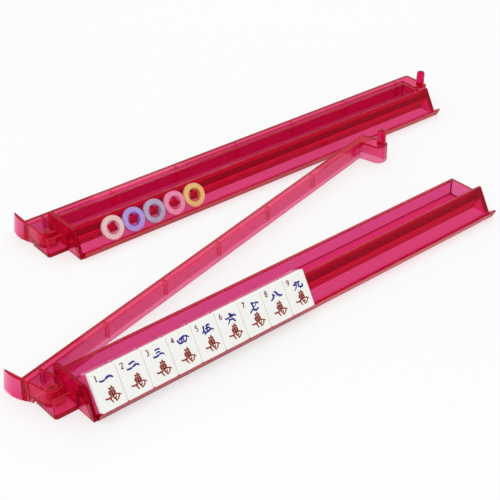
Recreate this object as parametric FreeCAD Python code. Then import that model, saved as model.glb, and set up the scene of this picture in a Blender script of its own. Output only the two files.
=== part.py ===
import FreeCAD, Part
import os
from math import cos, sin, tan, radians, sqrt
from FreeCAD import Vector

os.makedirs("parts", exist_ok=True)

# A pair of mahjong racks with swing-out pushers, nine tiles and five counters, in millimetres.
# X runs along the racks from the hinge end, Y from the player's side to the far side, Z up.
# Each rack is drawn with the lowest front edge of its hinge end at zero, then put in its place.

# Rack profile
rackLength = 420.6
wall = 3.75
tileLean = 60.0
ledgeCornerY = 4.43
ledgeCornerZ = 3.65
ledgeDepth = 10.1
ridgeHeight = 23.1
ridgeTopWidth = 2.4
ridgeBackSlope = 73.0
channelWidth = 21.7
floorThickness = 4.6
rearWallHeight = 17.25
rearWallThickness = 3.75
ridgeCoreRadius = 2.7
edgeRadius = 0.7
channelRadius = 1.5

# Rack ends
endPlate = 3.0
leftPlateHeight = 24.4
leftPlateFrontSlope = 68.5
leftPlateNose = 4.0

# Pusher hub round the hinge pin
pinSetBack = 12.2
hubRadius = 9.1
hubSideGap = 0.5
hubClearance = 0.4
hubFloor = 2.4
hubBossRadius = 4.2
hubBossHeight = 7.2

# Hinge housing on the left end
housingMargin = 0.2
housingFrontReach = 17.1
housingBackReach = 9.0
housingBase = 3.0
housingWallHeight = 17.4
housingWall = 2.0
housingNose = 2.6
housingHeel = 1.5

# Hinge pin
pinRadius = 2.2
pinHeadRadius = 4.0
pinHeadHeight = 1.5
pinSeatFloor = 0.8
pinSeatClearance = 0.05
pinRunningClearance = 0.08
pinEndPlay = 0.3

# Pusher arm, drawn closed against the rack
armRackGap = 2.7
armDepth = 7.0
armTop = 17.4
armWall = 1.8
armTopSkin = 2.0
tableClearance = 0.4
ribFootSetBack = 7.3
ribCount = 7
ribThickness = 1.8
ribLift = 3.1
footReach = 29.4
footWidth = 13.6
footClearance = 1.1
footOuterRadius = 3.0
footInnerRadius = 7.0

# Finger tab, flared towards the table
tabLength = 17.2
tabBulge = 1.8
tabRoot = 8.4
tabThickness = 1.6
tabFlare = 1.5

# Finger peg
pegRadius = 4.0
pegHeight = 15.4
pegSpigotRadius = 2.5
pegSpigotClearance = 0.05
pegCrown = 2.6
pegEdge = 0.3
pegOffset = 0.4

# Tiles
tileHeight = 30.2
tileWidth = 22.0
tileThickness = 12.7
tileRadius = 1.6
tileBevel = 0.7
tileGap = 0.2
tileCount = 9
seatGap = 0.15

# Counters
counterDiameter = 20.8
counterThickness = 2.8
counterRim = 4.2
counterRecess = 0.6
counterHoleClearance = 0.5
counterStart = 27.1
counterGap = 0.6
counterTurns = [12.0, -24.0, -21.0, 31.0, -19.0]

# Places
frontArmTurn = 13.24
rearRackShift = 108.5
rearRackTurn = -1.64
rearRackGap = 2.8


def roundedEdges(points):
    """Closed chain of edges through (a, b, radius) corners, each corner turned by its own arc."""
    count = len(points)
    stops = []
    for index in range(count):
        here = Vector(points[index][0], points[index][1], 0)
        before = Vector(points[index - 1][0], points[index - 1][1], 0)
        after = Vector(points[(index + 1) % count][0], points[(index + 1) % count][1], 0)
        radius = points[index][2]
        toBefore = (before - here).normalize()
        toAfter = (after - here).normalize()
        if radius <= 0:
            stops.append((here, here, here))
            continue
        halfAngle = toBefore.getAngle(toAfter) / 2
        setBack = radius / tan(halfAngle)
        middle = (toBefore + toAfter).normalize()
        centre = here + middle * (radius / sin(halfAngle))
        stops.append((here + toBefore * setBack, centre - middle * radius, here + toAfter * setBack))
    edges = []
    for index in range(count):
        start, crown, end = stops[index]
        if (end - start).Length > 0:
            edges.append(Part.Arc(start, crown, end).toShape())
        nextStart = stops[(index + 1) % count][0]
        if (nextStart - end).Length > 1e-6:
            edges.append(Part.LineSegment(end, nextStart).toShape())
    return edges


def planPrism(points, low, high):
    """Outline in plan, raised from low to high."""
    face = Part.Face(Part.Wire(roundedEdges(points)))
    face.translate(Vector(0, 0, low))
    return face.extrude(Vector(0, 0, high - low))


def profilePrism(points, left, right):
    """Outline of (Y, Z) corners, drawn out along X from left to right."""
    face = Part.Face(Part.Wire(roundedEdges(points)))
    face.rotate(Vector(0, 0, 0), Vector(1, 1, 1), 120)
    face.translate(Vector(left, 0, 0))
    return face.extrude(Vector(right - left, 0, 0))


def block(x0, x1, y0, y1, z0, z1):
    return Part.makeBox(x1 - x0, y1 - y0, z1 - z0, Vector(x0, y0, z0))


def post(radius, low, high, x, y):
    return Part.makeCylinder(radius, high - low, Vector(x, y, low))


# Lines of the profile that the pieces share
lean = radians(tileLean)
backSlope = radians(ridgeBackSlope)
ridgeFrontY = ledgeCornerY + (ridgeHeight - ledgeCornerZ) / tan(lean)
ridgeBackY = ridgeFrontY + ridgeTopWidth
channelFrontY = ridgeBackY + (ridgeHeight - floorThickness) / tan(backSlope)
rearWallInY = channelFrontY + channelWidth
rearWallOutY = rearWallInY + rearWallThickness
lipTipY = ledgeCornerY - ledgeDepth * sin(lean)
lipTipZ = ledgeCornerZ + ledgeDepth * cos(lean)
coreFrontY = ledgeCornerY - ledgeCornerZ / tan(lean) + wall / sin(lean)
coreBackY = ridgeBackY + ridgeHeight / tan(backSlope) - wall / sin(backSlope)
coreApexZ = (coreBackY - coreFrontY) / (1 / tan(lean) + 1 / tan(backSlope))
coreApexY = coreFrontY + coreApexZ / tan(lean)
channelEndY = ridgeBackY + (ridgeHeight - rearWallHeight) / tan(backSlope)
troughStart = endPlate
troughEnd = rackLength - endPlate

# Centre of the hinge and the edges of its housing
pinX = -hubRadius - hubSideGap
pinY = rearWallOutY - pinSetBack
housingLeft = pinX - hubRadius - housingMargin
housingFront = pinY - housingFrontReach
housingBack = pinY + housingBackReach
hubLow = housingBase + hubClearance
hubFloorTop = hubLow + hubFloor
hubBossTop = hubFloorTop + hubBossHeight

# Outline of the closed pusher arm and its foot
armFront = rearWallOutY + armRackGap
armBack = armFront + armDepth
armLeft = pinX - hubRadius
hubRight = pinX + hubRadius
footLeft = rackLength + footClearance
footRight = footLeft + footWidth
footFront = armBack - footReach
pegX = (footLeft + footRight) / 2 + pegOffset
pegY = footFront + pegRadius + pegEdge
firstRibX = hubRight - ribThickness / 2
ribPitch = (footLeft - ribFootSetBack - firstRibX) / (ribCount - 1)


def makeTrough():
    """One moulded length: lip and ledge, leaning tile face, hollow ridge, channel and far wall."""
    outline = [
        (0, 0, edgeRadius),
        (lipTipY, lipTipZ, edgeRadius),
        (ledgeCornerY, ledgeCornerZ, edgeRadius / 2),
        (ridgeFrontY, ridgeHeight, edgeRadius),
        (ridgeBackY, ridgeHeight, edgeRadius),
        (channelFrontY, floorThickness, channelRadius),
        (rearWallInY, floorThickness, channelRadius),
        (rearWallInY, rearWallHeight, edgeRadius),
        (rearWallOutY, rearWallHeight, edgeRadius),
        (rearWallOutY, 0, edgeRadius),
        (coreBackY, 0, edgeRadius),
        (coreApexY, coreApexZ, ridgeCoreRadius),
        (coreFrontY, 0, edgeRadius),
    ]
    return profilePrism(outline, troughStart, troughEnd)


def makeRightEnd():
    """Plate that closes the ridge and the channel and leaves the tile ledge open."""
    outline = [
        (0, 0, edgeRadius),
        (lipTipY, lipTipZ, edgeRadius),
        (ledgeCornerY, ledgeCornerZ, edgeRadius / 2),
        (ridgeFrontY, ridgeHeight, edgeRadius),
        (ridgeBackY, ridgeHeight, edgeRadius),
        (channelEndY, rearWallHeight, edgeRadius),
        (rearWallOutY, rearWallHeight, edgeRadius),
        (rearWallOutY, 0, edgeRadius),
    ]
    return profilePrism(outline, troughEnd, rackLength)


def makeLeftEnd():
    """Tall end plate with the open-topped housing that carries the hinge pin."""
    noseY = leftPlateHeight / tan(radians(leftPlateFrontSlope))
    plate = profilePrism([
        (0, 0, edgeRadius),
        (noseY, leftPlateHeight, leftPlateNose),
        (rearWallOutY, leftPlateHeight, edgeRadius * 2),
        (rearWallOutY, 0, edgeRadius),
    ], 0, endPlate)
    outer = [
        (endPlate / 2, housingBack, 0),
        (housingLeft, housingBack, housingHeel),
        (housingLeft, housingFront, housingNose),
        (endPlate / 2, housingFront, 0),
    ]
    inner = [
        (endPlate, housingBack + housingWall, 0),
        (housingLeft + housingWall, housingBack + housingWall, 0),
        (housingLeft + housingWall, housingFront + housingWall, max(housingNose - housingWall, edgeRadius / 2)),
        (endPlate, housingFront + housingWall, 0),
    ]
    base = planPrism(outer, 0, housingBase)
    screen = planPrism(outer, 0, housingWallHeight).cut(planPrism(inner, 0, housingWallHeight))
    openSide = block(2 * housingLeft, 0, housingFront + housingNose, housingBack + housingWall,
                     housingBase, housingWallHeight)
    end = plate.fuse([base, screen.cut(openSide)]).removeSplitter()
    return end.cut(post(pinRadius + pinSeatClearance, pinSeatFloor, hubLow, pinX, pinY))


def makePin():
    """Round pin with a broad flat head, pushed into the housing's base."""
    headLow = hubBossTop + pinEndPlay
    shank = post(pinRadius, pinSeatFloor, headLow + pinHeadHeight / 2, pinX, pinY)
    head = post(pinHeadRadius, headLow, headLow + pinHeadHeight, pinX, pinY)
    return head.fuse(shank).removeSplitter()


def armOutline(inset):
    """Plan of the bar and its hooked foot, drawn in by an inset for the hollow."""
    corner = edgeRadius
    return [
        (armLeft + inset, armBack - inset, corner),
        (footRight - inset, armBack - inset, footOuterRadius - min(inset, footOuterRadius / 2)),
        (footRight - inset, footFront + inset, footOuterRadius - min(inset, footOuterRadius / 2)),
        (footLeft + inset, footFront + inset, footInnerRadius - inset),
        (footLeft + inset, armFront + inset, corner),
        (armLeft + inset, armFront + inset, corner),
    ]


def tabOutline(bulge, flare, height):
    """Plan of the finger tab at one height: curved outside, straight inside, blunt tip."""
    root = armBack - tabRoot
    tipY = armBack + tabLength + flare / 2
    tipX = armLeft + tabThickness - flare
    corners = [
        Vector(tipX - tabThickness / 2, tipY, height),
        Vector(tipX, tipY - tabThickness / 2, height),
        Vector(armLeft + tabThickness, root, height),
        Vector(armLeft, root, height),
    ]
    middle = Vector(armLeft - bulge, (root + tipY) / 2, height)
    outside = Part.Arc(corners[3], middle, corners[0]).toShape()
    sides = [Part.LineSegment(a, b).toShape() for a, b in zip(corners, corners[1:])]
    return Part.Wire([outside] + sides)


def makeTab():
    """Curved finger tab behind the bar at the hinge end, its foot flared out and back."""
    low = tabOutline(tabBulge + tabFlare, tabFlare, tableClearance)
    high = tabOutline(tabBulge, 0, armTop)
    return Part.makeLoft([low, high], True, True)


def hubOutline(inset):
    """Plan of the hub: as wide as its rounded nose, run back into the bar."""
    reach = armFront + armWall / 2
    nose = hubRadius - inset
    tangent = nose - 1e-3
    return [
        (pinX - nose, reach, 0),
        (pinX - nose, pinY - nose, tangent),
        (pinX + nose, pinY - nose, tangent),
        (pinX + nose, reach, 0),
    ]


def makeHub():
    """Round-nosed cup that turns on the pin, with its boss and a heel down to the table."""
    cup = planPrism(hubOutline(0), hubLow, armTop)
    cup = cup.cut(planPrism(hubOutline(armWall), hubFloorTop, armTop + armWall))
    cornerReach = sqrt((pinX - housingLeft) ** 2 + housingBackReach ** 2) + hubClearance
    heelFront = pinY + sqrt(cornerReach ** 2 - (hubRadius - armWall) ** 2)
    heel = block(armLeft, armLeft + armWall, heelFront, armFront + armWall / 2,
                 tableClearance, hubLow + hubFloor / 2)
    boss = post(hubBossRadius, hubLow, hubBossTop, pinX, pinY)
    return [cup, heel, boss]


def makeArm():
    """Hollow bar open underneath, ribbed inside, with hub, finger tab and hooked foot."""
    bar = planPrism(armOutline(0), tableClearance, armTop)
    hollow = planPrism(armOutline(armWall), 0, armTop - armTopSkin)
    arm = bar.cut(hollow)
    ribs = []
    for index in range(ribCount):
        ribX = firstRibX + index * ribPitch
        ribs.append(block(ribX - ribThickness / 2, ribX + ribThickness / 2,
                          armFront + armWall / 2, armBack - armWall / 2,
                          tableClearance + ribLift, armTop - armTopSkin / 2))
    arm = arm.fuse(ribs + makeHub() + [makeTab()]).removeSplitter()
    pinBore = post(pinRadius + pinRunningClearance, hubLow - hubClearance, hubBossTop + pinEndPlay, pinX, pinY)
    pegBore = post(pegSpigotRadius + pegSpigotClearance, armTop - 2 * armTopSkin, armTop + armTopSkin, pegX, pegY)
    return arm.cut(pinBore).cut(pegBore)


def makePeg():
    """Finger peg, its top eased by two bevels, on a spigot in the foot's skin."""
    top = armTop + pegHeight
    corners = [
        Vector(0, 0, armTop - armTopSkin),
        Vector(pegSpigotRadius, 0, armTop - armTopSkin),
        Vector(pegSpigotRadius, 0, armTop),
        Vector(pegRadius, 0, armTop),
        Vector(pegRadius, 0, top - pegCrown),
        Vector(pegRadius - pegCrown * (1 - sqrt(0.5)), 0, top - pegCrown * (1 - sqrt(0.5))),
        Vector(pegRadius - pegCrown, 0, top),
        Vector(0, 0, top),
        Vector(0, 0, armTop - armTopSkin),
    ]
    peg = Part.Face(Part.makePolygon(corners)).revolve(Vector(0, 0, 0), Vector(0, 0, 1), 360)
    peg.translate(Vector(pegX, pegY, 0))
    return peg


def leanOnFace(shape, centreX, lift):
    """Stand a piece drawn flat (X across, Y up its face, Z out of its back) on the ledge."""
    shape.translate(Vector(centreX, lift + seatGap, seatGap))
    shape.rotate(Vector(0, 0, 0), Vector(1, 0, 0), tileLean)
    shape.translate(Vector(0, ledgeCornerY, ledgeCornerZ))
    return shape


def makeTile(index):
    """Thick tile with rounded corners and eased rims, seated with its back on the leaning face."""
    half = tileWidth / 2
    bevelled = block(-half, half, 0, tileHeight, 0, tileThickness)
    rims = [edge for edge in bevelled.Edges if edge.BoundBox.ZLength < tileThickness / 2]
    bevelled = bevelled.makeChamfer(tileBevel, rims)
    rounded = planPrism([(-half, 0, tileRadius), (half, 0, tileRadius),
                         (half, tileHeight, tileRadius), (-half, tileHeight, tileRadius)], 0, tileThickness)
    tile = rounded.common(bevelled)
    centreX = endPlate + tileGap + tileWidth / 2 + index * (tileWidth + tileGap)
    return leanOnFace(tile, centreX, 0)


def makeCounter(index):
    """Round counter with a thick rim, a thin middle and a square hole that takes the finger peg."""
    radius = counterDiameter / 2
    half = pegRadius + counterHoleClearance / 2
    disc = Part.makeCylinder(radius, counterThickness)
    disc = disc.cut(Part.makeCylinder(radius - counterRim, counterRecess,
                                      Vector(0, 0, counterThickness - counterRecess)))
    counter = disc.cut(block(-half, half, -half, half, 0, counterThickness))
    counter.rotate(Vector(0, 0, 0), Vector(0, 0, 1), counterTurns[index])
    return leanOnFace(counter, counterStart + radius + index * (counterDiameter + counterGap), radius)


def rearRackPlace():
    """Corner of the rear rack, with its lip one gap behind the open front pusher's foot."""
    turn = radians(frontArmTurn)
    tilt = radians(rearRackTurn)
    reach = Vector(footRight - pinX, armBack - pinY, 0)
    footX = pinX + reach.x * cos(turn) - reach.y * sin(turn)
    footY = pinY + reach.x * sin(turn) + reach.y * cos(turn)
    along = (footX - rearRackShift + lipTipY * sin(tilt)) / cos(tilt)
    return Vector(rearRackShift, footY + rearRackGap - along * sin(tilt) - lipTipY * cos(tilt), 0)


def placed(shape, armTurn=0, rear=False):
    """Copy turned about the pin by armTurn, moved to its rack's place, from the base's centre."""
    piece = shape.copy()
    if armTurn:
        piece.rotate(Vector(pinX, pinY, 0), Vector(0, 0, 1), armTurn)
    if rear:
        piece.rotate(Vector(0, 0, 0), Vector(0, 0, 1), rearRackTurn)
        piece.translate(rearRackPlace())
    piece.translate(Vector(-rackLength / 2, -(channelFrontY + rearWallInY) / 2, 0))
    return piece


rackPieces = {
    "trough": makeTrough(),
    "left_end": makeLeftEnd(),
    "right_end": makeRightEnd(),
    "hinge_pin": makePin(),
}
pusherPieces = {
    "pusher_arm": makeArm(),
    "finger_peg": makePeg(),
}
nodes = {}
for name, piece in rackPieces.items():
    nodes["front_" + name] = placed(piece)
    nodes["rear_" + name] = placed(piece, rear=True)
for name, piece in pusherPieces.items():
    nodes["front_" + name] = placed(piece, armTurn=frontArmTurn)
    nodes["rear_" + name] = placed(piece, rear=True)
for index in range(tileCount):
    nodes["tile_" + str(index + 1)] = placed(makeTile(index))
for index in range(len(counterTurns)):
    nodes["counter_" + str(index + 1)] = placed(makeCounter(index), rear=True)

print("pin", pinX, pinY, "rear rack", rearRackPlace(), "shift", (channelFrontY + rearWallInY) / 2)
for name, shape in nodes.items():
    solids = shape.Solids
    print(name, "solids", len(solids), "valid", shape.isValid(), "volume", round(shape.Volume, 1))
    solid = solids[0] if len(solids) == 1 else shape
    solid.exportStep("parts/" + name + ".step")
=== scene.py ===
import bpy, math
import numpy as np
from mathutils import Matrix, Vector


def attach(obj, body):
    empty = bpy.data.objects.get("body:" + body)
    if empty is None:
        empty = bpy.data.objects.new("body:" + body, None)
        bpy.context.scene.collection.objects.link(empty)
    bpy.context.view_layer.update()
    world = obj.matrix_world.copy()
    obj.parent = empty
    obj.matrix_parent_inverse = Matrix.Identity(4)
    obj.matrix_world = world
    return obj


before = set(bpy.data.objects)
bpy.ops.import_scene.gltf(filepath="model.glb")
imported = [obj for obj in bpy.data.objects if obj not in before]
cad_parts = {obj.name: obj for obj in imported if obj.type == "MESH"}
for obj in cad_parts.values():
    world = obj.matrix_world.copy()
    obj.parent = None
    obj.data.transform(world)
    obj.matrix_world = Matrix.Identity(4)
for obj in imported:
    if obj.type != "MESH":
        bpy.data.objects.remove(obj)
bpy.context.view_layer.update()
print("frame loaded:", len(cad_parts), "nodes")


# one sRGB hex value turned to the linear colour that shaders read
def hexColour(value, alpha=1.0):
    out = []
    for k in (0, 2, 4):
        c = int(value[k:k + 2], 16) / 255
        out.append(c / 12.92 if c <= 0.04045 else ((c + 0.055) / 1.055) ** 2.4)
    return (*out, alpha)


# adds one node, sets its properties and sockets, and links what is given as a socket
def addNode(tree, kind, props=None, sockets=None):
    node = tree.nodes.new(kind)
    for name, value in (props or {}).items():
        setattr(node, name, value)
    for name, value in (sockets or {}).items():
        if isinstance(value, bpy.types.NodeSocket):
            tree.links.new(value, node.inputs[name])
        else:
            node.inputs[name].default_value = value
    return node


def newMaterial(name):
    material = bpy.data.materials.new(name)
    material.use_nodes = True
    tree = material.node_tree
    tree.nodes.clear()
    return material, tree, tree.nodes.new("ShaderNodeOutputMaterial")


# camera: where the photographer stood, in metres from the middle of the front rack's underside
camera = {"azimuth": -40.47, "elevation": 33.10, "roll": -0.12, "target": (0.0147, 0.0626, 0.0),
          "distance": 1.0655, "lens": 91.36}


def makeCamera(c):
    az, el, roll = (math.radians(c[k]) for k in ("azimuth", "elevation", "roll"))
    back = Vector((math.sin(az) * math.cos(el), -math.cos(az) * math.cos(el), math.sin(el)))
    right = Vector((0, 0, 1)).cross(back).normalized()
    up = back.cross(right)
    x = right * math.cos(roll) + up * math.sin(roll)
    y = up * math.cos(roll) - right * math.sin(roll)
    data = bpy.data.cameras.new("viewpoint")
    data.lens = c["lens"]
    data.sensor_width = 36
    cam = bpy.data.objects.new("viewpoint", data)
    turn = Matrix((x, y, back)).transposed().to_4x4()
    cam.matrix_world = Matrix.Translation(Vector(c["target"]) + back * c["distance"]) @ turn
    bpy.context.scene.collection.objects.link(cam)
    bpy.context.scene.camera = cam


makeCamera(camera)
bpy.context.scene.view_settings.view_transform = "Standard"

# daylight tent: even white world, one wide soft lamp from the upper left and a weaker one behind
light = {"world": 0.80, "key": 9.0, "keySize": 1.6, "keyAt": (-0.9, -0.5, 1.7), "fill": 3.0, "fillAt": (0.9, 0.9, 1.2),
         "paperGlow": 0.6}


def makeLights(l):
    world = bpy.data.worlds.new("tent")
    world.use_nodes = True
    tree = world.node_tree
    tree.nodes.clear()
    path = addNode(tree, "ShaderNodeLightPath")
    seen = addNode(tree, "ShaderNodeMath", {"operation": "MAXIMUM"},
                   {0: path.outputs["Is Camera Ray"], 1: path.outputs["Is Transmission Ray"]})
    strength = addNode(tree, "ShaderNodeMapRange", None,
                       {"Value": seen.outputs[0], "To Min": l["world"], "To Max": 1.0})
    sky = addNode(tree, "ShaderNodeBackground", None, {"Color": (1, 1, 1, 1), "Strength": strength.outputs[0]})
    addNode(tree, "ShaderNodeOutputWorld", None, {"Surface": sky.outputs[0]})
    bpy.context.scene.world = world
    for name, power, at, size in (("key", l["key"], l["keyAt"], l["keySize"]), ("fill", l["fill"], l["fillAt"], 1.0)):
        lamp = bpy.data.lights.new(name, "AREA")
        lamp.energy = power
        lamp.size = size
        lampObject = bpy.data.objects.new(name, lamp)
        lampObject.matrix_world = Matrix.Translation(at) @ (-Vector(at)).to_track_quat("-Z", "Y").to_matrix().to_4x4()
        bpy.context.scene.collection.objects.link(lampObject)


makeLights(light)


def makeFloor():
    material, tree, out = newMaterial("matt white table paper")
    grain = addNode(tree, "ShaderNodeTexNoise", None, {"Scale": 900.0})
    bump = addNode(tree, "ShaderNodeBump", None, {"Strength": 0.02, "Distance": 0.0005, "Height": grain.outputs["Fac"]})
    paper = addNode(tree, "ShaderNodeBsdfPrincipled", None,
                    {"Base Color": hexColour("f8f8f8"), "Roughness": 0.9, "Specular IOR Level": 0.1,
                     "Normal": bump.outputs[0]})
    path = addNode(tree, "ShaderNodeLightPath")
    direct = addNode(tree, "ShaderNodeMath", {"operation": "MAXIMUM"},
                     {0: path.outputs["Is Camera Ray"], 1: path.outputs["Is Glossy Ray"]})
    seen = addNode(tree, "ShaderNodeMath", {"operation": "MAXIMUM"},
                   {0: direct.outputs[0], 1: path.outputs["Is Transmission Ray"]})
    share = addNode(tree, "ShaderNodeMath", {"operation": "MULTIPLY"}, {0: seen.outputs[0], 1: light["paperGlow"]})
    glow = addNode(tree, "ShaderNodeEmission", None, {"Color": (1, 1, 1, 1), "Strength": 1.0})
    lit = addNode(tree, "ShaderNodeMixShader", None, {0: share.outputs[0], 1: paper.outputs[0], 2: glow.outputs[0]})
    tree.links.new(lit.outputs[0], out.inputs["Surface"])
    mesh = bpy.data.meshes.new("floor")
    s = 6.0
    mesh.from_pydata([(-s, -s, 0), (s, -s, 0), (s, s, 0), (-s, s, 0)], [], [(0, 1, 2, 3)])
    mesh.materials.append(material)
    floor = bpy.data.objects.new("floor", mesh)
    floor.location.z = -0.0005
    bpy.context.scene.collection.objects.link(floor)


makeFloor()
print("camera, lights and floor made")

# cast and polished PMMA: light passes in, is bent, and loses green and blue on its way
rackPlastic = {"tint": "f746c6", "density": 550.0, "roughness": 0.03,
               "dye": "ff083c", "haze": 0.19, "sheen": "ff5a88"}


def acrylic(name, look):
    material, tree, out = newMaterial(name)
    place = addNode(tree, "ShaderNodeTexCoord")
    ripple = addNode(tree, "ShaderNodeTexNoise", None,
                     {"Vector": place.outputs["Object"], "Scale": 45.0, "Detail": 3.0})
    bump = addNode(tree, "ShaderNodeBump", None,
                   {"Strength": 0.15, "Distance": 0.0006, "Height": ripple.outputs["Fac"]})
    body = addNode(tree, "ShaderNodeBsdfPrincipled", None,
                   {"Base Color": (1, 1, 1, 1), "Roughness": look["roughness"], "IOR": 1.49,
                    "Specular Tint": hexColour(look["sheen"]), "Transmission Weight": 1.0,
                    "Normal": bump.outputs[0]})
    dye = addNode(tree, "ShaderNodeBsdfPrincipled", None,
                  {"Base Color": hexColour(look["dye"]), "Roughness": 0.5, "Specular IOR Level": 0.0})
    dyed = addNode(tree, "ShaderNodeMixShader", None, {0: look["haze"], 1: body.outputs[0], 2: dye.outputs[0]})
    clear = addNode(tree, "ShaderNodeBsdfTransparent", None, {"Color": (0.92, 0.92, 0.92, 1)})
    path = addNode(tree, "ShaderNodeLightPath")
    shade = addNode(tree, "ShaderNodeMixShader", None,
                    {0: path.outputs["Is Shadow Ray"], 1: dyed.outputs[0], 2: clear.outputs[0]})
    depth = addNode(tree, "ShaderNodeVolumeAbsorption", None,
                    {"Color": hexColour(look["tint"]), "Density": look["density"]})
    tree.links.new(shade.outputs[0], out.inputs["Surface"])
    tree.links.new(depth.outputs[0], out.inputs["Volume"])
    return material


pinkAcrylic = acrylic("pink see-through acrylic", rackPlastic)


# moulded tile plastic in two layers, an ivory face on a rose back, with a fine dark joint between them:
# the layer follows from how far a point lies along the tile's face normal
tileLayers = {"normal": (0.0, -0.866025, 0.5), "joint": 0.036273, "line": 0.00035,
              "face": ("f4f3ee", "faf9f5"), "back": ("cf4478", "dc5488"), "seam": "8c2a4a"}


def tilePlastic(look):
    material, tree, out = newMaterial("two-layer moulded urea tile")
    place = addNode(tree, "ShaderNodeTexCoord")
    mottle = addNode(tree, "ShaderNodeTexNoise", None, {"Vector": place.outputs["Object"], "Scale": 300.0, "Detail": 4.0})
    layers = [addNode(tree, "ShaderNodeMix", {"data_type": "RGBA"},
                      {0: mottle.outputs["Fac"], 6: hexColour(look[k][0]), 7: hexColour(look[k][1])}).outputs[2]
              for k in ("face", "back")]
    depth = addNode(tree, "ShaderNodeVectorMath", {"operation": "DOT_PRODUCT"},
                    {0: place.outputs["Object"], 1: look["normal"]})
    behind = addNode(tree, "ShaderNodeMath", {"operation": "LESS_THAN"},
                     {0: depth.outputs["Value"], 1: look["joint"]})
    away = addNode(tree, "ShaderNodeMath", {"operation": "COMPARE"},
                   {0: depth.outputs["Value"], 1: look["joint"], 2: look["line"] / 2})
    colour = addNode(tree, "ShaderNodeMix", {"data_type": "RGBA"}, {0: behind.outputs[0], 6: layers[0], 7: layers[1]})
    seamed = addNode(tree, "ShaderNodeMix", {"data_type": "RGBA"},
                     {0: away.outputs[0], 6: colour.outputs[2], 7: hexColour(look["seam"])})
    bump = addNode(tree, "ShaderNodeBump", None, {"Strength": 0.05, "Distance": 0.0002, "Height": mottle.outputs["Fac"]})
    body = addNode(tree, "ShaderNodeBsdfPrincipled", None,
                   {"Base Color": seamed.outputs[2], "Roughness": 0.25, "IOR": 1.55, "Coat Weight": 0.3,
                    "Normal": bump.outputs[0]})
    tree.links.new(body.outputs[0], out.inputs["Surface"])
    return material


tileUrea = tilePlastic(tileLayers)

# moulded polystyrene counters: a cloudy thick rim and a cloudy frame round the hole, with a clearer thin
# web between them, by how far a point lies from the counter's middle
counterLooks = {1: ("ffd0cc", "f79cbe"), 2: ("b48cf2", "b06ad8"), 3: ("b9a4cc", "c084b4"),
                4: ("ff7ab4", "ff5a9c"), 5: ("ffc246", "dc8a58")}
counterZones = {"frame": 0.0040, "web": 0.0062, "soft": 0.0004, "rimClear": 0.22, "webClear": 0.55, "shade": 0.6}


def counterPlastic(name, rim, web, middle):
    material, tree, out = newMaterial(name)
    place = addNode(tree, "ShaderNodeTexCoord")
    cloud = addNode(tree, "ShaderNodeTexNoise", None, {"Vector": place.outputs["Object"], "Scale": 350.0, "Detail": 4.0})
    light = tuple(min(1.0, 0.35 + 0.75 * c) for c in hexColour(rim)[:3]) + (1.0,)
    cloudy = addNode(tree, "ShaderNodeMix", {"data_type": "RGBA"},
                     {0: cloud.outputs["Fac"], 6: hexColour(rim), 7: light})
    reach = addNode(tree, "ShaderNodeVectorMath", {"operation": "DISTANCE"},
                    {0: place.outputs["Object"], 1: middle})
    zones = counterZones
    inner = addNode(tree, "ShaderNodeMapRange", None,
                    {"Value": reach.outputs["Value"], "From Min": zones["frame"] - zones["soft"],
                     "From Max": zones["frame"] + zones["soft"]})
    outer = addNode(tree, "ShaderNodeMapRange", None,
                    {"Value": reach.outputs["Value"], "From Min": zones["web"] - zones["soft"],
                     "From Max": zones["web"] + zones["soft"], "To Min": 1.0, "To Max": 0.0})
    thin = addNode(tree, "ShaderNodeMath", {"operation": "MULTIPLY"}, {0: inner.outputs[0], 1: outer.outputs[0]})
    colour = addNode(tree, "ShaderNodeMix", {"data_type": "RGBA"},
                     {0: thin.outputs[0], 6: cloudy.outputs[2], 7: hexColour(web)})
    clear = addNode(tree, "ShaderNodeMapRange", None,
                    {"Value": thin.outputs[0], "To Min": zones["rimClear"], "To Max": zones["webClear"]})
    bump = addNode(tree, "ShaderNodeBump", None, {"Strength": 0.2, "Distance": 0.0002, "Height": cloud.outputs["Fac"]})
    body = addNode(tree, "ShaderNodeBsdfPrincipled", None,
                   {"Base Color": colour.outputs[2], "Roughness": 0.15, "IOR": 1.55,
                    "Transmission Weight": clear.outputs[0], "Normal": bump.outputs[0]})
    passed = addNode(tree, "ShaderNodeBsdfTransparent", None, {"Color": (zones["shade"],) * 3 + (1,)})
    path = addNode(tree, "ShaderNodeLightPath")
    shade = addNode(tree, "ShaderNodeMixShader", None,
                    {0: path.outputs["Is Shadow Ray"], 1: body.outputs[0], 2: passed.outputs[0]})
    tree.links.new(shade.outputs[0], out.inputs["Surface"])
    return material


def counterMiddle(number):
    corners = np.array([tuple(c) for c in bpy.data.objects["counter_%d" % number].bound_box])
    return tuple(corners.mean(axis=0))


counterPlastics = {k: counterPlastic("moulded counter plastic %d" % k, rim, web, counterMiddle(k))
                   for k, (rim, web) in counterLooks.items()}


def dressNodes():
    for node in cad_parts:
        obj = bpy.data.objects[node]
        if node.startswith("tile_"):
            material = tileUrea
        elif node.startswith("counter_"):
            material = counterPlastics[int(node[-1])]
        else:
            material = pinkAcrylic
        for slot in obj.material_slots:
            slot.material = material


dressNodes()
print("nodes dressed")

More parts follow.
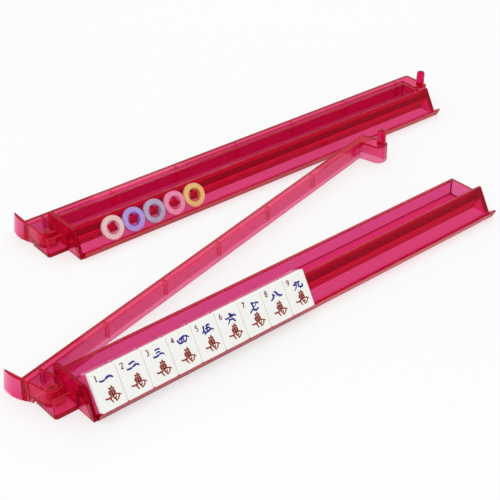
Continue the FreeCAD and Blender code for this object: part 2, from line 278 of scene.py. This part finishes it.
# painted characters: every stroke is x, y of its start, bend and end in millimetres from the face's lower
# left corner, then the brush's pressure at the start and the end
characters = {
    "1": [(5.9, 22.6, 7.2, 20.7, 10.6, 21.7, .9, 1.1), (10.6, 21.7, 13.0, 23.1, 15.0, 22.7, 1.1, 1.5),
          (15.0, 22.7, 16.3, 22.0, 17.4, 20.6, 1.5, .6)],
    "2": [(9.2, 23.7, 11.2, 23.8, 12.6, 24.4, 1.0, 1.3), (12.6, 24.4, 13.9, 24.4, 14.7, 23.2, 1.3, .6),
          (6.6, 21.1, 8.2, 20.0, 11.6, 20.8, 1.0, 1.1), (11.6, 20.8, 14.2, 21.6, 15.3, 21.8, 1.1, 1.4),
          (15.3, 21.8, 16.4, 21.2, 17.5, 19.9, 1.4, .6)],
    "3": [(9.9, 23.9, 12.2, 25.2, 14.6, 23.8, .9, 1.0), (10.2, 21.8, 12.4, 22.9, 14.2, 21.7, .8, .9),
          (7.0, 20.2, 9.6, 19.2, 12.6, 20.2, 1.0, 1.2), (12.6, 20.2, 15.0, 21.2, 16.9, 18.8, 1.2, .7)],
    "4": [(7.6, 23.8, 8.0, 21.6, 10.2, 20.0, .9, 1.3), (8.8, 22.9, 11.6, 24.2, 14.9, 24.5, 1.0, 1.4),
          (14.9, 24.5, 16.4, 23.4, 18.4, 22.2, 1.4, .6), (16.0, 22.8, 15.4, 21.0, 13.6, 19.5, .8, .9),
          (11.4, 24.0, 11.5, 22.2, 10.6, 21.0, 1.0, .7), (13.2, 24.2, 12.2, 22.0, 13.7, 21.3, 1.0, .8),
          (10.1, 20.1, 12.0, 21.0, 14.4, 20.6, 1.2, .7)],
    "5": [(9.8, 24.8, 9.9, 23.6, 9.2, 21.8, 1.3, 1.1), (9.2, 21.8, 8.6, 20.2, 6.8, 19.2, 1.1, .5),
          (9.5, 21.6, 9.4, 19.6, 9.9, 17.6, 1.2, .9), (11.9, 23.4, 13.6, 25.0, 15.5, 23.5, 1.2, .9),
          (12.9, 24.3, 12.4, 22.0, 12.0, 19.8, 1.0, 1.0), (10.5, 21.6, 13.4, 22.9, 15.0, 21.2, 1.0, 1.0),
          (14.9, 21.4, 14.8, 20.6, 14.5, 19.9, 1.0, 1.0), (9.9, 19.3, 12.8, 19.3, 15.0, 20.1, 1.0, 1.2),
          (15.0, 20.1, 16.4, 20.3, 17.7, 18.7, 1.3, .6)],
    "6": [(12.3, 24.8, 12.3, 23.8, 11.9, 22.4, 1.6, 1.1), (12.4, 23.5, 13.4, 22.8, 15.0, 22.3, .7, 1.1),
          (7.1, 22.2, 8.3, 20.9, 11.0, 21.5, .8, 1.1), (11.0, 21.5, 13.0, 21.8, 15.2, 22.2, 1.1, 1.5),
          (15.2, 22.2, 16.6, 21.8, 17.5, 20.4, 1.5, .6), (10.7, 20.8, 10.9, 18.4, 8.2, 17.1, 1.0, .6),
          (10.9, 19.3, 13.6, 20.4, 14.7, 18.4, .8, 1.4), (14.7, 18.4, 15.1, 17.6, 15.3, 16.8, 1.5, .8)],
    "7": [(10.8, 24.5, 11.9, 23.2, 14.0, 23.0, 1.1, .9), (14.0, 23.0, 16.0, 23.0, 17.6, 21.8, .9, 1.1),
          (11.2, 24.1, 12.1, 21.6, 11.6, 18.8, 1.1, 1.1), (11.6, 19.0, 9.6, 18.6, 7.4, 16.7, 1.1, .7),
          (11.6, 18.8, 13.2, 17.2, 14.6, 17.8, 1.2, 1.4), (14.6, 17.8, 15.6, 18.2, 16.4, 18.8, 1.4, .6),
          (15.2, 22.6, 14.6, 20.6, 12.2, 20.4, .6, .5)],
    "8": [(9.6, 22.9, 10.1, 21.8, 10.2, 20.6, 1.1, 1.6), (10.2, 20.5, 8.8, 19.0, 6.4, 18.1, 1.5, .6),
          (10.4, 20.8, 11.2, 20.8, 12.2, 20.5, .9, .4), (11.2, 23.5, 12.0, 23.9, 12.6, 23.6, .5, 1.3),
          (12.6, 23.8, 13.4, 21.6, 15.0, 19.8, 1.3, 1.5), (15.0, 19.8, 16.0, 19.0, 18.7, 19.1, 1.8, .6)],
    "9": [(7.8, 21.4, 9.8, 21.4, 11.3, 21.9, 1.1, 1.3), (11.3, 21.9, 13.6, 23.2, 15.2, 21.9, 1.0, .9),
          (9.8, 23.7, 10.8, 23.2, 11.2, 22.0, .9, 1.1), (11.1, 21.9, 10.9, 18.8, 8.0, 17.1, 1.0, .6),
          (14.0, 22.6, 12.2, 20.2, 13.2, 18.5, .9, 1.3), (13.2, 18.5, 14.8, 17.8, 16.9, 18.6, 1.3, 1.4),
          (16.9, 18.6, 16.6, 19.6, 16.2, 20.5, 1.2, .5)],
    "ten thousand": [
        (11.2, 15.4, 11.1, 14.4, 11.4, 13.4, 1.0, 1.0), (13.1, 16.1, 13.3, 15.0, 13.2, 13.6, 1.2, 1.0),
        (10.6, 13.9, 12.6, 14.6, 15.2, 13.5, .8, 1.1), (9.5, 12.2, 12.0, 12.9, 14.7, 12.4, 1.1, 1.1),
        (10.2, 11.0, 12.4, 11.4, 14.5, 10.9, .9, 1.0), (10.3, 9.6, 12.6, 9.8, 14.8, 9.5, .9, 1.0),
        (9.9, 12.2, 10.2, 10.8, 10.8, 9.2, 1.2, 1.1), (14.5, 12.5, 14.4, 11.0, 14.5, 9.4, 1.1, 1.1),
        (12.4, 13.0, 12.2, 10.0, 12.4, 6.4, 1.0, 1.0), (5.5, 8.9, 8.0, 7.5, 11.6, 8.6, 1.0, 1.2),
        (11.6, 8.6, 15.4, 10.2, 18.9, 7.0, 1.1, .7), (9.6, 8.1, 10.0, 6.4, 11.1, 4.2, 1.1, .8),
        (13.1, 7.6, 13.0, 6.0, 14.1, 4.1, .9, 1.0), (16.9, 8.2, 16.6, 5.6, 14.1, 4.9, 1.0, .8),
        (14.5, 8.0, 14.3, 7.0, 13.6, 6.2, 1.0, .7)],
}
# the same in a unit square
digits = {
    1: [(.30, .82, .46, .90, .54, 1.0, .8, 1.0), (.54, 1.0, .54, .50, .54, .00, 1.1, 1.1),
        (.30, .02, .54, .02, .78, .02, .9, .9)],
    2: [(.14, .78, .20, 1.02, .52, 1.0, 1.0, 1.0), (.52, 1.0, .88, .98, .84, .70, 1.0, 1.0),
        (.84, .70, .74, .46, .12, .04, 1.0, .9), (.12, .04, .50, .04, .90, .06, 1.1, 1.1)],
    3: [(.16, .92, .46, 1.06, .72, .90, .9, 1.0), (.72, .90, .88, .62, .44, .54, 1.0, .9),
        (.44, .54, .96, .48, .80, .18, .9, 1.1), (.80, .18, .56, -.06, .12, .10, 1.1, .9)],
    4: [(.66, 1.0, .40, .62, .08, .32, .9, .9), (.08, .30, .50, .30, .94, .30, 1.1, 1.1),
        (.66, 1.0, .66, .50, .66, .00, 1.1, 1.1)],
    5: [(.84, .98, .50, .98, .24, .98, 1.1, 1.1), (.24, .98, .22, .76, .18, .56, 1.0, 1.0),
        (.18, .56, .60, .74, .84, .44, .9, 1.0), (.84, .44, .84, .00, .14, .06, 1.0, .9)],
    6: [(.76, 1.0, .34, .84, .20, .44, .9, 1.1), (.20, .44, .10, .04, .48, .02, 1.1, 1.0),
        (.48, .02, .90, .06, .84, .38, 1.0, 1.0), (.84, .38, .60, .68, .22, .40, 1.0, .8)],
    7: [(.12, .96, .50, .98, .90, .96, 1.2, 1.2), (.90, .96, .58, .56, .42, .00, 1.1, 1.1)],
    8: [(.50, .54, .14, .68, .24, .88, .9, 1.0), (.24, .88, .50, 1.12, .78, .86, 1.0, 1.0),
        (.78, .86, .80, .66, .50, .54, 1.0, .9), (.50, .54, .06, .40, .18, .16, .9, 1.0),
        (.18, .16, .50, -.12, .84, .16, 1.1, 1.1), (.84, .16, .92, .42, .50, .54, 1.0, .9)],
    9: [(.80, .62, .40, .36, .18, .62, .9, 1.0), (.18, .62, .14, .98, .50, 1.0, 1.0, 1.0),
        (.50, 1.0, .90, .98, .82, .58, 1.0, 1.1), (.82, .58, .74, .18, .26, .00, 1.1, .9)],
}
# what turns a table's units to millimetres on the face: the corner and the scale, then the brush's width
writing = {"numeral": {"corner": (0.0, 0.0), "scale": (1.0, 1.0), "brush": 1.35, "ink": "2a1c9c"},
           "ten thousand": {"corner": (0.0, 0.0), "scale": (1.0, 1.0), "brush": 1.22, "ink": "a83212"},
           "digit": {"corner": (2.6, 22.9), "scale": (2.8, 4.2), "brush": 0.86, "ink": "8c3220"}}
tileFace = {"first": (-0.1961, -0.041189, 0.010205), "step": 0.0222, "half": 0.011, "film": (-0.00003, 0.00004)}


def inkMaterial(name, ink):
    material, tree, out = newMaterial(name)
    place = addNode(tree, "ShaderNodeTexCoord")
    wear = addNode(tree, "ShaderNodeTexNoise", None, {"Vector": place.outputs["Object"], "Scale": 900.0, "Detail": 3.0})
    deep = tuple(0.6 * c for c in hexColour(ink)[:3]) + (1.0,)
    colour = addNode(tree, "ShaderNodeMix", {"data_type": "RGBA"},
                     {0: wear.outputs["Fac"], 6: deep, 7: hexColour(ink)})
    body = addNode(tree, "ShaderNodeBsdfPrincipled", None,
                   {"Base Color": colour.outputs[2], "Roughness": 0.45, "IOR": 1.5})
    tree.links.new(body.outputs[0], out.inputs["Surface"])
    return material


inks = {part: inkMaterial("brushed enamel ink, " + part, look["ink"]) for part, look in writing.items()}


# each stroke is a thin closed bar: its middle runs along (1-s)^2 start + 2s(1-s) bend + s^2 end,
# its half width is the brush times the pressure, eased round at both ends by sqrt(1 - (2s-1)^8),
# and its four corners stand at plus and minus that width, on and just under the face
def paintStrokes(name, part, strokes, tile):
    look = writing[part]
    rows = np.array(strokes, float)
    s = np.linspace(0.0, 1.0, 15)[None, :, None]
    start, bend, end = (rows[:, None, k:k + 2] * look["scale"] + look["corner"] for k in (0, 2, 4))
    middle = (1 - s) ** 2 * start + 2 * s * (1 - s) * bend + s ** 2 * end
    along = 2 * (1 - s) * (bend - start) + 2 * s * (end - bend)
    along /= np.maximum(np.linalg.norm(along, axis=2, keepdims=True), 1e-9)
    across = np.stack([-along[..., 1], along[..., 0]], axis=2)
    press = rows[:, None, 6:7] * (1 - s) + rows[:, None, 7:8] * s
    half = 0.5 * look["brush"] * press * np.sqrt(np.maximum(1 - (2 * s - 1) ** 8, 0.02))
    side = np.array([1.0, -1.0, -1.0, 1.0])[None, None, :, None]
    flat = middle[:, :, None, :] + side * (half * across)[:, :, None, :]
    height = np.array(tileFace["film"])[[1, 1, 0, 0]]
    low = np.array(tileFace["first"]) + np.array([tile * tileFace["step"] - tileFace["half"], 0, 0])
    lean = math.radians(60)
    up, out = np.array([0, math.cos(lean), math.sin(lean)]), np.array([0, -math.sin(lean), math.cos(lean)])
    points = (low + 0.001 * flat[..., 0:1] * np.array([1.0, 0, 0]) + 0.001 * flat[..., 1:2] * up
              + height[None, None, :, None] * out)
    count, rings = points.shape[:2]
    base = (np.arange(count)[:, None, None] * rings + np.arange(rings - 1)[None, :, None]) * 4
    k = np.arange(4)[None, None, :]
    turn = (k + 1) % 4
    walls = np.stack([base + k, base + turn, base + 4 + turn, base + 4 + k], axis=3).reshape(-1, 4)
    first = np.arange(count)[:, None] * rings * 4
    caps = np.concatenate([first + np.array([[3, 2, 1, 0]]), first + (rings - 1) * 4 + np.array([[0, 1, 2, 3]])])
    mesh = bpy.data.meshes.new(name)
    mesh.from_pydata(points.reshape(-1, 3).tolist(), [], np.concatenate([walls, caps]).tolist())
    mesh.materials.append(inks[part])
    painted = bpy.data.objects.new(name, mesh)
    bpy.context.scene.collection.objects.link(painted)
    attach(painted, "tile_%d_body" % (tile + 1))


for tile in range(9):
    number = tile + 1
    paintStrokes("tile_%d_numeral" % number, "numeral", characters[str(number)], tile)
    paintStrokes("tile_%d_ten_thousand" % number, "ten thousand", characters["ten thousand"], tile)
    paintStrokes("tile_%d_digit" % number, "digit", digits[number], tile)
print("tiles painted")
